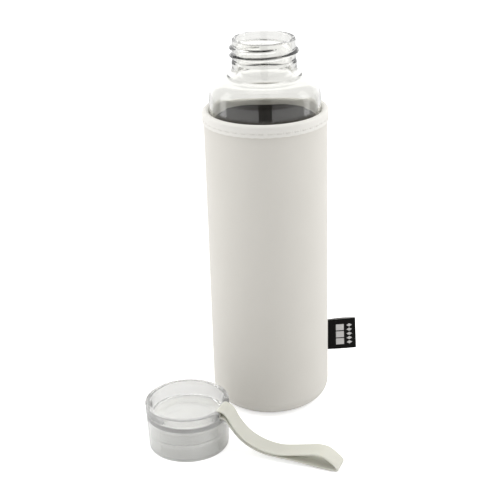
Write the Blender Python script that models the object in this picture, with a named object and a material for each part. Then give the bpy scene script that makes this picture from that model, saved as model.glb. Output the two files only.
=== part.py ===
"""Glass water bottle in a fabric sleeve, with its screw cap and carry strap beside it.

Lengths below are in millimetres and are turned into metres where a mesh is made.
The bottle stands on the axis x = y = 0 with the sleeve's underside at z = 0.  The cap
stands on the same surface, open end down, in front of the bottle on its left, and its
strap lies out along the surface.
"""

from math import atan2, cos, degrees, pi, radians, sin, sqrt, tau

import bmesh
import bpy
from mathutils import Vector

MM = 0.001
ROUND = 40            # sides of a full turn
GAP = 0.3             # clearance kept between pieces that touch

# Glass
GLASS_R = 32.5
GLASS_WALL = 1.8
GLASS_TOP = 227.1
GLASS_CORNER = 6.6    # radius of the outer bottom edge
BASE_GLASS = 5.0      # thickness of the bottle's base
PUNT_DEPTH = 1.4
BORE_R = 15.9
NECK_R = 18.2
LIP_ROUND = 0.7
SHOULDER_ROUND = 14.5
SHOULDER_TOP = 206.8
SHOULDER_THICKENING = 0.75  # how much thicker the wall is where the shoulder runs into the neck
THICKENING_FROM = 20  # degrees above the horizontal on the shoulder's arc
THICKENING_TO = 62
INNER_FILLET = 6.0    # where the bore opens into the shoulder
NECK_FILLET = 4.6     # outside, between the shoulder's arc and the neck
NECK_BASE_R = 18.7    # of the neck below its thread
NECK_BASE_TOP = 213.4

# Screw thread shared by the neck and the cap
PITCH = 4.4
THREAD_CREST_R = 19.9
THREAD_HALF = 1.25    # half of the ridge's width where it meets the neck
THREAD_ZERO = 215.4   # height that the thread's centre line has at angle 0
THREAD_FROM = 90      # degrees
THREAD_TO = 660
THREAD_FADE = 28      # degrees over which each end rises
RING_STEP = 0.55      # height of the rings that carry a thread

# Sleeve: layers from the outside in
SLEEVE_R = 35.9
SLEEVE_TOP = 186.2
CORNER = 10.0         # radius of the sleeve's lower edge
SHELL = 1.0
LINING = 1.7
BINDING = 0.6
BINDING_OUTER_R = 36.8
BINDING_INNER_R = 32.8
BINDING_DROP = 7.1    # how far the binding reaches down
LINING_RELIEF_R = 33.7
RELIEF_DROP = 9.0
STITCH_R = 0.22
STITCH_LENGTH = 5.0
STITCH_WAVE = 0.12
HEM_STITCH_DROP = 5.0
SEAM_ANGLE = 8.0      # degrees from +X, where the sleeve closes and the label is sewn in
SEAM_OFFSET = 2.6     # from the seam to its row of stitches
SEAM_FOOT = 14.0

# Woven label
LABEL_ROOT = 36.6
LABEL_TIP = 54.2
LABEL_LOW = 25.4
LABEL_HIGH = 46.0
LABEL_LEAF = 0.4
LABEL_FOLD_GAP = 0.4
LABEL_BULGE = 0.6     # how far each leaf bows away from the other
LABEL_FLARE = 0.6     # how much further out the fold reaches at the label's foot
LABEL_HINGE_R = 37.0

# Cap, in its own frame: its axis is z and its foot is at z = 0
CAP_X = -49.35
CAP_Y = -59.87
CAP_HEIGHT = 28.2
CAP_TOP_R = 24.6
CAP_FOOT_R = 23.55
CAP_EDGE = 0.6
DISH_TOP_R = 21.8
DISH_FLOOR_R = 19.5
DISH_FLOOR = 20.6
CAP_DECK = 1.8        # thickness of the dish's floor
CAP_CAVITY_R = 22.0
INSERT_R = 21.7
INSERT_BORE_R = 20.4
INSERT_CREST_R = 19.1
INSERT_DECK = 1.2
INSERT_FOOT = 0.6
GASKET_INNER_R = 15.2
GASKET_OUTER_R = 19.6
GASKET = 1.6

# Slot and bar that hold the strap
STRAP_ANGLE = -20.0   # degrees from +X, seen from above
BAR_X = 22.3          # radius at which the bar's centre crosses the middle of the slot
BAR_Z = 24.9
BAR_HALF = 0.95
SLOT_WIDTH = 15.4
SLOT_FLOOR = 21.8

# Carry strap
STRAP_WIDTH = 11.9
STRAP = 1.2
STRAP_EDGE = 0.35
BEND_R = 2.1          # of the strap's middle layer around the bar


def material(name, colour, roughness, metallic=0.0, transmission=0.0):
    made = bpy.data.materials.new(name)
    made.use_nodes = True
    shader = made.node_tree.nodes["Principled BSDF"]
    shader.inputs["Base Color"].default_value = (*colour, 1.0)
    shader.inputs["Roughness"].default_value = roughness
    shader.inputs["Metallic"].default_value = metallic
    shader.inputs["Transmission Weight"].default_value = transmission
    return made


def finish(name, bm, parent, look, sharp=35):
    """Turn a bmesh in millimetres into a smooth shaded object under its parent."""
    bmesh.ops.scale(bm, vec=(MM, MM, MM), verts=bm.verts)
    bmesh.ops.recalc_face_normals(bm, faces=bm.faces)
    mesh = bpy.data.meshes.new(name)
    bm.to_mesh(mesh)
    bm.free()
    mesh.shade_smooth()
    mesh.set_sharp_from_angle(angle=radians(sharp))
    mesh.materials.append(look)
    made = bpy.data.objects.new(name, mesh)
    bpy.context.collection.objects.link(made)
    made.parent = parent
    return made


def empty(name, place, turn=0.0, parent=None):
    made = bpy.data.objects.new(name, None)
    made.empty_display_size = 0.01
    made.location = Vector(place) * MM
    made.rotation_euler = (0.0, 0.0, radians(turn))
    made.parent = parent
    bpy.context.collection.objects.link(made)
    return made


def arc(centre_r, centre_z, radius, start, end, steps):
    """Points along an arc in the (radius, height) plane, angles in degrees from +r."""
    points = []
    for index in range(steps + 1):
        angle = radians(start + (end - start) * index / steps)
        points.append((centre_r + radius * cos(angle), centre_z + radius * sin(angle)))
    return points


def ring_of(bm, radius, height):
    """A ring of vertices, or one vertex on the axis.  radius may be a function of the angle."""
    if not callable(radius) and radius < 1e-6:
        return [bm.verts.new((0.0, 0.0, height))]
    ring = []
    for index in range(ROUND):
        angle = tau * index / ROUND
        reach = radius(angle) if callable(radius) else radius
        ring.append(bm.verts.new((reach * cos(angle), reach * sin(angle), height)))
    return ring


def bridge(bm, first, second):
    """Faces between two rings that follow each other on the profile."""
    for index in range(ROUND):
        following = (index + 1) % ROUND
        if len(first) == 1:
            bm.faces.new((first[0], second[index], second[following]))
        elif len(second) == 1:
            bm.faces.new((first[index], second[0], first[following]))
        else:
            bm.faces.new((first[index], second[index], second[following], first[following]))


def turned(profile, closed):
    """A body turned about z.  A closed profile comes back to its start, an open one ends on the axis."""
    bm = bmesh.new()
    rings = [ring_of(bm, radius, height) for radius, height in profile]
    for first, second in zip(rings, rings[1:]):
        bridge(bm, first, second)
    if closed:
        bridge(bm, rings[-1], rings[0])
    return bm


def ramp(value):
    """0 to 1 with soft ends."""
    value = min(max(value, 0.0), 1.0)
    return value * value * (3.0 - 2.0 * value)


def ridge(angle, height, zero, start, end):
    """How proud a one-start thread stands at this angle and height, from 0 to 1."""
    proud = 0.0
    turned_so_far = degrees(angle) % 360.0
    while turned_so_far <= end:
        if turned_so_far >= start:
            centre = zero + PITCH * turned_so_far / 360.0
            across = ramp((THREAD_HALF - abs(height - centre)) / (0.7 * THREAD_HALF))
            ends = ramp((turned_so_far - start) / THREAD_FADE) * ramp((end - turned_so_far) / THREAD_FADE)
            proud = max(proud, across * ends)
        turned_so_far += 360.0
    return proud


def threaded_rings(low, high, root, crest, zero, start, end):
    """(radius function, height) pairs for a threaded stretch, from low to high."""
    count = round((high - low) / RING_STEP)
    pairs = []
    for index in range(count + 1):
        height = low + (high - low) * index / count

        def radius(angle, height=height):
            return root + (crest - root) * ridge(angle, height, zero, start, end)

        pairs.append((radius, height))
    return pairs


def shoulder_wall(angle):
    """Thickness of the glass on the shoulder's arc, which grows towards the neck."""
    share = min(max((angle - THICKENING_FROM) / (THICKENING_TO - THICKENING_FROM), 0.0), 1.0)
    return GLASS_WALL + SHOULDER_THICKENING * share


def tangent_fillet(arc_r, arc_z, arc_radius, neck_r, fillet):
    """Centre of a fillet between an arc and the neck above it, and the arc's angle where they meet."""
    centre_r = neck_r + fillet
    rise = sqrt((arc_radius + fillet) ** 2 - (centre_r - arc_r) ** 2)
    return centre_r, arc_z + rise, degrees(atan2(rise, centre_r - arc_r))


def glass_bottle(parent, look):
    """One blown shell, from the middle of the base up the outside and down the inside."""
    foot = CORNER - GLASS_CORNER
    corner_r = GLASS_R - GLASS_CORNER
    shoulder_r = GLASS_R - SHOULDER_ROUND
    shoulder_z = SHOULDER_TOP - SHOULDER_ROUND
    inner_r = GLASS_R - GLASS_WALL
    inner_corner = GLASS_CORNER - GLASS_WALL
    inner_floor = foot + BASE_GLASS
    thread_low = THREAD_ZERO + PITCH * THREAD_FROM / 360.0 - THREAD_HALF
    thread_high = THREAD_ZERO + PITCH * THREAD_TO / 360.0 + THREAD_HALF

    outside = [(0.0, foot + PUNT_DEPTH), (corner_r * 0.75, foot + PUNT_DEPTH * 0.6)]
    outside += arc(corner_r, CORNER, GLASS_CORNER, -90, 0, 5)
    fillet_r, fillet_z, meeting = tangent_fillet(shoulder_r, shoulder_z, SHOULDER_ROUND,
                                                 NECK_BASE_R, NECK_FILLET)
    outside += arc(shoulder_r, shoulder_z, SHOULDER_ROUND, 0, meeting, 9)
    outside += arc(fillet_r, fillet_z, NECK_FILLET, 180 + meeting, 180, 6)[1:]
    outside += [(NECK_BASE_R, NECK_BASE_TOP)]
    outside += [((NECK_BASE_R + NECK_R) / 2.0, (NECK_BASE_TOP + thread_low) / 2.0)]
    outside += threaded_rings(thread_low, thread_high, NECK_R, THREAD_CREST_R, THREAD_ZERO,
                              THREAD_FROM, THREAD_TO)
    outside += arc(NECK_R - LIP_ROUND, GLASS_TOP - LIP_ROUND, LIP_ROUND, 0, 90, 3)
    inside = arc(BORE_R + LIP_ROUND, GLASS_TOP - LIP_ROUND, LIP_ROUND, 90, 180, 3)
    crown = SHOULDER_ROUND - GLASS_WALL - SHOULDER_THICKENING
    fillet_r, fillet_z, meeting = tangent_fillet(shoulder_r, shoulder_z, crown, BORE_R, INNER_FILLET)
    inside += arc(fillet_r, fillet_z, INNER_FILLET, 180, 180 + meeting, 6)
    steps = 15
    for index in range(1, steps + 1):
        angle = meeting * (1.0 - index / steps)
        reach = SHOULDER_ROUND - shoulder_wall(angle)
        inside.append((shoulder_r + reach * cos(radians(angle)), shoulder_z + reach * sin(radians(angle))))
    inside += arc(inner_r - inner_corner, inner_floor + inner_corner, inner_corner, 0, -90, 4)
    inside += [(0.0, inner_floor)]
    return finish("glass_bottle", turned(outside + inside, closed=False), parent, look)


def cap_shell(parent, look):
    """Outer shell of the cap: a cylinder with a dish in its top and a cavity below."""
    deck_under = DISH_FLOOR - CAP_DECK
    profile = [(0.0, deck_under), (CAP_CAVITY_R, deck_under), (CAP_CAVITY_R, 0.0)]
    profile += [(CAP_FOOT_R - CAP_EDGE, 0.0), (CAP_FOOT_R, CAP_EDGE), (CAP_TOP_R, CAP_HEIGHT - CAP_EDGE)]
    profile += [(CAP_TOP_R - 0.18, CAP_HEIGHT - 0.18), (CAP_TOP_R - CAP_EDGE, CAP_HEIGHT)]
    profile += [(DISH_TOP_R + CAP_EDGE, CAP_HEIGHT), (DISH_TOP_R, CAP_HEIGHT - CAP_EDGE)]
    profile += arc(DISH_FLOOR_R - 0.6, DISH_FLOOR + 1.4, 1.4, 0, -90, 3)
    profile += [(0.0, DISH_FLOOR)]
    shell = finish("cap_shell", turned(profile, closed=False), parent, look)
    for cutter in (slot_cutter(parent), bar_clearance(parent)):
        cut = shell.modifiers.new(cutter.name, "BOOLEAN")
        cut.operation = "DIFFERENCE"
        cut.object = cutter
    return shell


def prism(name, corners, width, parent):
    """A cutter: an outline in the strap's plane, pulled out across the strap."""
    bm = bmesh.new()
    near = [bm.verts.new((x, -width / 2.0, z)) for x, z in corners]
    far = [bm.verts.new((x, width / 2.0, z)) for x, z in corners]
    bm.faces.new(near)
    bm.faces.new(list(reversed(far)))
    for index in range(len(corners)):
        following = (index + 1) % len(corners)
        bm.faces.new((near[following], near[index], far[index], far[following]))
    made = finish(name, bm, parent, material(name, (1, 0, 0), 0.5))
    made.rotation_euler = (0.0, 0.0, radians(STRAP_ANGLE))
    made.hide_render = True
    made.display_type = "WIRE"
    return made


def slot_cutter(parent):
    """The slot under the bar, through the rim."""
    inner = DISH_FLOOR_R - 3.0
    outer = CAP_TOP_R + 2.0
    top = BAR_Z - BAR_HALF
    corners = [(inner, SLOT_FLOOR), (outer, SLOT_FLOOR), (outer, top), (inner, top)]
    return prism("slot_cutter", corners, SLOT_WIDTH, parent)


def bar_clearance(parent):
    """What is taken off the rim in front of, above and behind the straight bar."""
    inner = DISH_FLOOR_R - 3.0
    outer = CAP_TOP_R + 2.0
    low = BAR_Z - BAR_HALF - 0.5
    high = BAR_Z + BAR_HALF
    above = CAP_HEIGHT + 2.0
    left = BAR_X - BAR_HALF
    right = BAR_X + BAR_HALF
    corners = [(inner, low), (left, low), (left, high), (right, high), (right, low), (outer, low)]
    corners += [(outer, above), (inner, above)]
    return prism("bar_clearance", corners, SLOT_WIDTH, parent)


def cap_insert(parent, look):
    """The threaded cup that sits inside the shell and screws onto the neck."""
    top = DISH_FLOOR - CAP_DECK - GAP
    deck_under = top - INSERT_DECK
    zero = deck_under - GASKET - GAP - (GLASS_TOP - THREAD_ZERO)
    thread_low = zero + PITCH * THREAD_FROM / 360.0 - THREAD_HALF
    thread_high = zero + PITCH * THREAD_TO / 360.0 - THREAD_HALF
    profile = [(0.0, top), (INSERT_R - 0.5, top), (INSERT_R, top - 0.5)]
    profile += [(INSERT_R, INSERT_FOOT), (INSERT_BORE_R + 0.4, INSERT_FOOT)]
    profile += threaded_rings(thread_low, thread_high, INSERT_BORE_R, INSERT_CREST_R, zero + PITCH / 2.0,
                              THREAD_FROM, THREAD_TO - 180)
    profile += [(INSERT_BORE_R, deck_under), (0.0, deck_under)]
    return finish("cap_insert", turned(profile, closed=False), parent, look)


def cap_gasket(parent, look):
    """The soft sealing ring that the glass lip presses on."""
    top = DISH_FLOOR - CAP_DECK - INSERT_DECK - 2 * GAP
    low = top - GASKET
    middle = (GASKET_INNER_R + GASKET_OUTER_R) / 2.0
    profile = [(GASKET_INNER_R, low + 0.3), (GASKET_INNER_R, top), (GASKET_OUTER_R, top)]
    profile += [(GASKET_OUTER_R, low + 0.3), (middle + 1.2, low), (middle - 1.2, low)]
    return finish("cap_gasket", turned(profile, closed=True), parent, look)


def smooth_through(points, per_span):
    """Points on a smooth curve through the given points, ends included."""
    padded = [points[0] * 2 - points[1], *points, points[-1] * 2 - points[-2]]
    curve = []
    for before, start, end, after in zip(padded, padded[1:], padded[2:], padded[3:]):
        for step in range(per_span):
            t = step / per_span
            curve.append(0.5 * (2 * start + (end - before) * t + (2 * before - 5 * start + 4 * end - after) * t * t
                                + (3 * start - before - 3 * end + after) * t * t * t))
    return curve + [points[-1]]


def strap_route():
    """The middle of the strap's thickness, once round, as (reach from the cap's axis, height)."""
    over_bar = Vector((BAR_X, BAR_Z + BEND_R))
    under_bar = Vector((BAR_X, BAR_Z - BEND_R))
    outward = [(24.8, 26.2), (27.2, 23.9), (30.4, 18.3), (36.0, 11.8), (42.4, 7.9), (49.0, 5.7), (57.0, 4.9)]
    outward += [(65.0, 6.2), (73.0, 7.9), (79.5, 9.2), (85.0, 8.6), (90.0, 5.3), (92.8, 2.5)]
    back = [(92.6, 1.2), (89.0, 1.0), (82.0, 1.4), (73.0, 2.4), (65.0, 3.0), (57.0, 3.3), (48.7, 4.2)]
    back += [(41.8, 6.5), (35.0, 10.7), (29.2, 17.4), (26.4, 21.6), (24.6, 22.7)]
    loop = [over_bar, *(Vector(point) for point in outward + back), under_bar]
    route = smooth_through(loop, 2)
    for step in range(1, 7):
        turn = radians(270 - 180 * step / 7)
        route.append(Vector((BAR_X + BEND_R * cos(turn), BAR_Z + BEND_R * sin(turn))))
    return route


def carry_strap(hinge, look):
    """The closed strap, threaded round the bar; its frame has the bar's centre as origin and x outward."""
    route = [point - Vector((BAR_X, BAR_Z)) for point in strap_route()]
    half_width = STRAP_WIDTH / 2.0
    half = STRAP / 2.0
    flat = half_width - STRAP_EDGE
    section = [(-half_width, 0.0), (-flat, half), (flat, half)]
    section += [(half_width, 0.0), (flat, -half), (-flat, -half)]
    bm = bmesh.new()
    rings = []
    for index, point in enumerate(route):
        along = (route[(index + 1) % len(route)] - route[index - 1]).normalized()
        out = Vector((-along.y, along.x))
        ring = []
        for across, lift in section:
            place = point + out * lift
            ring.append(bm.verts.new((place.x, across, place.y)))
        rings.append(ring)
    for index, ring in enumerate(rings):
        following = rings[(index + 1) % len(rings)]
        for side in range(len(section)):
            next_side = (side + 1) % len(section)
            bm.faces.new((ring[side], following[side], following[next_side], ring[next_side]))
    return finish("carry_strap", bm, hinge, look, sharp=60)


def sleeve_shell(parent, look):
    """Outer fabric: a straight wall turned in under the bottle, open in the middle of its foot."""
    centre_r = SLEEVE_R - CORNER
    top = SLEEVE_TOP - BINDING - 1.2
    profile = arc(centre_r, CORNER, CORNER, -90, 0, 6)
    profile += [(SLEEVE_R, top), (SLEEVE_R - SHELL, top)]
    profile += arc(centre_r, CORNER, CORNER - SHELL, 0, -90, 6)
    return finish("sleeve_shell", turned(profile, closed=True), parent, look)


def sleeve_lining(parent, look):
    """Dark inner fabric, thinner where the binding folds over it."""
    centre_r = SLEEVE_R - CORNER
    outer = CORNER - SHELL - GAP
    inner = outer - LINING
    top = SLEEVE_TOP - BINDING - 1.2
    relief = SLEEVE_TOP - RELIEF_DROP
    profile = arc(centre_r, CORNER, outer, -90, 0, 5)
    profile += [(centre_r + outer, top), (LINING_RELIEF_R, top), (LINING_RELIEF_R, relief + 0.8)]
    profile += [(centre_r + inner, relief)]
    profile += arc(centre_r, CORNER, inner, 0, -90, 5)
    return finish("sleeve_lining", turned(profile, closed=True), parent, look)


def disc(name, radius, low, high, parent, look):
    edge = 0.2
    profile = [(0.0, low), (radius - edge, low), (radius, low + edge), (radius, high - edge)]
    profile += [(radius - edge, high), (0.0, high)]
    return finish(name, turned(profile, closed=False), parent, look)


def top_binding(parent, look):
    """The folded edge over the top of both layers."""
    middle = (BINDING_OUTER_R + BINDING_INNER_R) / 2.0
    outer = (BINDING_OUTER_R - BINDING_INNER_R) / 2.0
    crown = SLEEVE_TOP - outer * 0.8
    foot = SLEEVE_TOP - BINDING_DROP
    over = [(x, crown + (z - crown) * 0.8) for x, z in arc(middle, crown, outer, 0, 180, 6)]
    under = [(x, crown - 0.1 + (z - crown) * 0.8) for x, z in arc(middle, crown, outer - BINDING, 180, 0, 6)]
    profile = [(BINDING_OUTER_R, foot), *over, (BINDING_INNER_R, foot)]
    profile += [(BINDING_INNER_R + BINDING, foot), *under, (BINDING_OUTER_R - BINDING, foot)]
    return finish("top_binding", turned(profile, closed=True), parent, look)


def thread_tube(name, points, closed, parent, look):
    """A sewing thread: one four-sided tube along the points."""
    bm = bmesh.new()
    count = len(points)
    rings = []
    for index, point in enumerate(points):
        before = points[index - 1] if closed or index else point
        after = points[(index + 1) % count] if closed or index < count - 1 else point
        along = (after - before).normalized()
        side = along.cross(Vector((0.0, 0.0, 1.0)))
        if side.length < 0.3:
            side = along.cross(Vector((0.0, 1.0, 0.0)))
        side.normalize()
        lift = side.cross(along)
        ring = []
        for turn in (0.0, pi / 2, pi, 3 * pi / 2):
            ring.append(bm.verts.new(point + (side * cos(turn) + lift * sin(turn)) * STITCH_R))
        rings.append(ring)
    spans = count if closed else count - 1
    for index in range(spans):
        first = rings[index]
        second = rings[(index + 1) % count]
        for side in range(4):
            following = (side + 1) % 4
            bm.faces.new((first[side], second[side], second[following], first[following]))
    if not closed:
        bm.faces.new(list(reversed(rings[0])))
        bm.faces.new(rings[-1])
    return finish(name, bm, parent, look, sharp=60)


def hem_stitch(parent, look):
    """The row of stitches that holds the binding, all round, proud of the fabric on every other point."""
    base = BINDING_OUTER_R + GAP + STITCH_R
    stitches = round(tau * base / STITCH_LENGTH)
    points = []
    for index in range(2 * stitches):
        angle = tau * index / (2 * stitches)
        reach = base + STITCH_WAVE * (index % 2)
        points.append(Vector((reach * cos(angle), reach * sin(angle), SLEEVE_TOP - HEM_STITCH_DROP)))
    return thread_tube("hem_stitch", points, True, parent, look)


def seam_stitch(parent, look):
    """The row beside the side seam, from the binding down to the curved foot."""
    base = SLEEVE_R + GAP + STITCH_R
    angle = radians(SEAM_ANGLE) + SEAM_OFFSET / SLEEVE_R
    top = SLEEVE_TOP - BINDING_DROP - 1.0
    count = 2 * round((top - SEAM_FOOT) / STITCH_LENGTH)
    points = []
    for index in range(count + 1):
        reach = base + STITCH_WAVE * (index % 2)
        height = SEAM_FOOT + (top - SEAM_FOOT) * index / count
        points.append(Vector((reach * cos(angle), reach * sin(angle), height)))
    return thread_tube("side_seam_stitch", points, False, parent, look)


def base_stitch(parent, look):
    """The row that joins the wall to the base panel, in the layer between panel and lining."""
    radius = SLEEVE_R - CORNER - 1.6
    height = 1.0 + GAP + STITCH_R
    stitches = round(tau * radius / STITCH_LENGTH)
    points = []
    for index in range(2 * stitches):
        angle = tau * index / (2 * stitches)
        points.append(Vector((radius * cos(angle), radius * sin(angle), height + STITCH_WAVE * (index % 2))))
    return thread_tube("base_seam_stitch", points, True, parent, look)


def woven_label(hinge, look):
    """A tape folded in two, its fold outward and both ends in the side seam."""
    root = LABEL_ROOT - LABEL_HINGE_R
    tip = LABEL_TIP - LABEL_HINGE_R
    inner = LABEL_FOLD_GAP / 2.0
    outer = inner + LABEL_LEAF
    leaf_end = tip - outer
    leaf = []
    for step in range(7):
        share = step / 6
        leaf.append((root + (leaf_end - root) * share, LABEL_BULGE * sin(pi * share)))
    outline = [(x, -outer - bow) for x, bow in leaf]
    outline += [(leaf_end + outer * sin(radians(t)), -outer * cos(radians(t))) for t in (30, 60, 90, 120, 150)]
    outline += [(x, outer + bow) for x, bow in reversed(leaf)]
    outline += [(x, inner + bow) for x, bow in leaf]
    outline += [(leaf_end + inner * sin(radians(t)), inner * cos(radians(t))) for t in (45, 90, 135)]
    outline += [(x, -inner - bow) for x, bow in reversed(leaf)]
    flare = 1.0 + LABEL_FLARE / (tip - root)
    bm = bmesh.new()
    low = [bm.verts.new((root + (x - root) * flare, y, LABEL_LOW)) for x, y in outline]
    high = [bm.verts.new((x, y, LABEL_HIGH)) for x, y in outline]
    for index in range(len(outline)):
        following = (index + 1) % len(outline)
        bm.faces.new((low[index], low[following], high[following], high[index]))
    bm.faces.new(list(reversed(low)))
    bm.faces.new(high)
    return finish("woven_label", bm, hinge, look)


def clear_scene():
    for thing in list(bpy.data.objects):
        bpy.data.objects.remove(thing, do_unlink=True)


def main():
    clear_scene()
    glass = material("bottle_glass", (0.93, 0.95, 0.93), 0.02, transmission=1.0)
    clear_plastic = material("clear_plastic", (0.90, 0.91, 0.89), 0.06, transmission=1.0)
    seal = material("seal_silicone", (0.80, 0.80, 0.78), 0.45)
    strap_rubber = material("strap_rubber", (0.68, 0.67, 0.60), 0.55)
    fabric = material("sleeve_fabric", (0.62, 0.60, 0.56), 0.9)
    lining = material("lining_fabric", (0.03, 0.03, 0.03), 0.9)
    thread = material("sewing_thread", (0.70, 0.69, 0.65), 0.7)
    tape = material("label_tape", (0.015, 0.014, 0.014), 0.75)

    sleeve = empty("sleeve", (0, 0, 0))
    bottle = empty("bottle", (0, 0, 0), parent=sleeve)
    cap = empty("cap", (CAP_X, CAP_Y, 0))
    strap_turn = radians(STRAP_ANGLE)
    strap_hinge = empty("strap_hinge", (BAR_X * cos(strap_turn), BAR_X * sin(strap_turn), BAR_Z),
                        STRAP_ANGLE, cap)
    seam = radians(SEAM_ANGLE)
    label_hinge = empty("label_hinge", (LABEL_HINGE_R * cos(seam), LABEL_HINGE_R * sin(seam), 0),
                        SEAM_ANGLE, sleeve)

    glass_bottle(bottle, glass)
    cap_shell(cap, clear_plastic)
    cap_insert(cap, clear_plastic)
    cap_gasket(cap, seal)
    carry_strap(strap_hinge, strap_rubber)
    panel_r = SLEEVE_R - CORNER - GAP
    lining_top = CORNER - GLASS_CORNER - GAP - 0.1
    sleeve_shell(sleeve, fabric)
    sleeve_lining(sleeve, lining)
    disc("base_panel", panel_r, 0.0, SHELL, sleeve, fabric)
    disc("base_lining", panel_r, SHELL + 2 * GAP + 3 * STITCH_R, lining_top, sleeve, lining)
    top_binding(sleeve, fabric)
    hem_stitch(sleeve, thread)
    seam_stitch(sleeve, thread)
    base_stitch(sleeve, thread)
    woven_label(label_hinge, tape)


main()
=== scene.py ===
"""Looks of a glass water bottle in a fabric sleeve, with its screw cap and carry strap beside it.

Lengths are in millimetres and are turned into metres where a mesh is made; the camera, the lamps
and the noise in materials use metres.  Each piece is a grid of points made by a function, with a
procedural material whose weave, knit and plies follow millimetres along the surface.
"""

from math import cos, pi, radians, sin, tau

import bmesh
import bpy
import numpy as np
from mathutils import Matrix, Vector, noise


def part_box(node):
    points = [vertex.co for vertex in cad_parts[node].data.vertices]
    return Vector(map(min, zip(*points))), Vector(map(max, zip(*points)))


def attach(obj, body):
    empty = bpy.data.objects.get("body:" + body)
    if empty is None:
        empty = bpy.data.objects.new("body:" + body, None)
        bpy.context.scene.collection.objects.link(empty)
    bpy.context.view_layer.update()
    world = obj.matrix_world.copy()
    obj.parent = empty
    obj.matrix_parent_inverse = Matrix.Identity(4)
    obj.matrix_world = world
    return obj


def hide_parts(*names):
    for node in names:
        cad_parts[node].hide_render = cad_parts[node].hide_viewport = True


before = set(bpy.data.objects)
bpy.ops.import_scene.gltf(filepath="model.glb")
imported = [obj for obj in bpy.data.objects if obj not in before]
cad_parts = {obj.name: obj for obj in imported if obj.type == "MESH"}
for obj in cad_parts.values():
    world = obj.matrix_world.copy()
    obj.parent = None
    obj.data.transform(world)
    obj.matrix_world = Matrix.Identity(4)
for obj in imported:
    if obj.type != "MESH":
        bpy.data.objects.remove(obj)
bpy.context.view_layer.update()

MM = 0.001


def box_of(node):
    """Lowest and highest corner of a CAD node, in millimetres."""
    low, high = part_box(node)
    return low / MM, high / MM


glass_low, glass_high = box_of("glass_bottle")
shell_low, shell_high = box_of("sleeve_shell")
binding_low, binding_high = box_of("top_binding")
label_low, label_high = box_of("woven_label")
cap_low, cap_high = box_of("cap_shell")

# Glass bottle, on the axis x = y = 0
GLASS_R = glass_high.x
GLASS_TOP = glass_high.z
GLASS_FOOT = glass_low.z
GLASS_WALL = 1.8
GLASS_CORNER = 6.6
BASE_GLASS = 5.0
PUNT_DEPTH = 1.4          # how far the middle of the foot is domed up
BORE_R = 15.9
NECK_R = 18.2
LIP_ROUND = 0.7
SHOULDER_ROUND = 14.5
SHOULDER_TOP = GLASS_TOP - 20.3
SHOULDER_THICKENING = 0.75
THICKENING_FROM = 20.0    # degrees above the horizontal on the shoulder's arc
THICKENING_TO = 62.0
INNER_FILLET = 6.0
NECK_FILLET = 4.6
NECK_BASE_R = 18.7
NECK_BASE_TOP = GLASS_TOP - 13.7
NECK_BASE_TAPER = 1.8     # height over which the neck's base narrows to the neck

# Screw thread shared by the neck and the cap
PITCH = 4.4
THREAD_CREST_R = 19.9
THREAD_HALF = 1.35
THREAD_ZERO = GLASS_TOP - 11.7
THREAD_FROM = 90.0        # degrees along the helix, from its zero
THREAD_TO = 660.0
THREAD_FADE = 28.0        # degrees over which each end rises

# Sleeve
SLEEVE_R = shell_high.x
SLEEVE_TOP = binding_high.z
SHELL_TOP = shell_high.z
CORNER = 10.0
SHELL = 1.0
LINING = 1.7
FABRIC_GAP = 0.3
BINDING = 0.6
BINDING_OUTER_R = binding_high.x
BINDING_INNER_R = BINDING_OUTER_R - 4.0
BINDING_DROP = binding_high.z - binding_low.z
BINDING_CROWN = 0.8       # height of the folded edge's arch, as a share of its half width
BINDING_EDGE = 0.25       # round of the lower edge
LINING_RELIEF_R = 33.7    # the lining is thinner at its top, where the binding's inner leg lies
LINING_RELIEF_DROP = 9.0
LINING_RELIEF_STEP = 0.8
BASE_SEAM_INSET = 1.6
SEAM_ANGLE = radians(8.0)

# Unevenness of the cloth, as (depth, width, seed) of each layer of noise
SLEEVE_WAVES = ((0.16, 42.0, 1), (0.05, 14.0, 2))
BINDING_WAVES = ((0.10, 16.0, 3),)
BINDING_RIPPLES = ((0.06, 24.0, 4),)

# Side seam: a groove with a low roll on each side, as depth or height, place and half width
GROOVE_DEPTH, GROOVE_HALF = 0.55, 0.35
ROLL_HEIGHT, ROLL_PLACE, ROLL_HALF = 0.12, 1.2, 0.7

# Stitches, how they sit in the cloth, and how they draw the binding in
THREAD_R = 0.24
STITCH_PITCH = 5.2
STITCH_LENGTH = 3.5
STITCH_LIFT = 0.9         # height of a stitch's middle above the cloth, in thread radii
STITCH_DIP = 2.2          # how far its ends dip below that, in thread radii
STITCH_TAPER = 0.75
STITCH_SIDES = 8
HEM_STITCH_DROP = 5.0
HEM_STITCH_SINK = 0.42
SEAM_STITCH_OFFSET = 2.6
SEAM_STITCH_FOOT = 14.0
SEAM_STITCH_DROP = 1.5    # below the binding
LINE_PULL, LINE_HALF = 0.20, 0.8
HOLE_PULL, HOLE_PLACE, HOLE_HALF = 0.30, 0.36, 0.07    # the last two in stitch pitches
EDGE_PUFF = 0.10
EDGE_WAVE = 0.12

# Cap, whose axis is the line x = CAP_X, y = CAP_Y
CAP_X = (cap_low.x + cap_high.x) / 2.0
CAP_Y = (cap_low.y + cap_high.y) / 2.0
CAP_HEIGHT = cap_high.z
CAP_TOP_R = (cap_high.x - cap_low.x) / 2.0
CAP_FOOT_R = CAP_TOP_R - 1.05
CAP_EDGE = 0.6
DISH_TOP_R = CAP_TOP_R - 2.8
DISH_FLOOR_R = 19.5
DISH_FLOOR = 20.6
DISH_ROUND = 1.4
DISH_FLAT_R = DISH_FLOOR_R - 0.6
CAP_DECK = 1.8
CAP_DECK_UNDER = DISH_FLOOR - CAP_DECK
CAP_CAVITY_R = 22.0
CAP_CAVITY_ROUND = 0.3
CAP_MOUTH_ROUND = 0.25
CAP_GAP = 0.3
INSERT_R = 21.7
INSERT_ROUND = 0.5
INSERT_BORE_R = 20.4
INSERT_BORE_ROUND = 0.4
INSERT_CREST_R = 19.1
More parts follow.
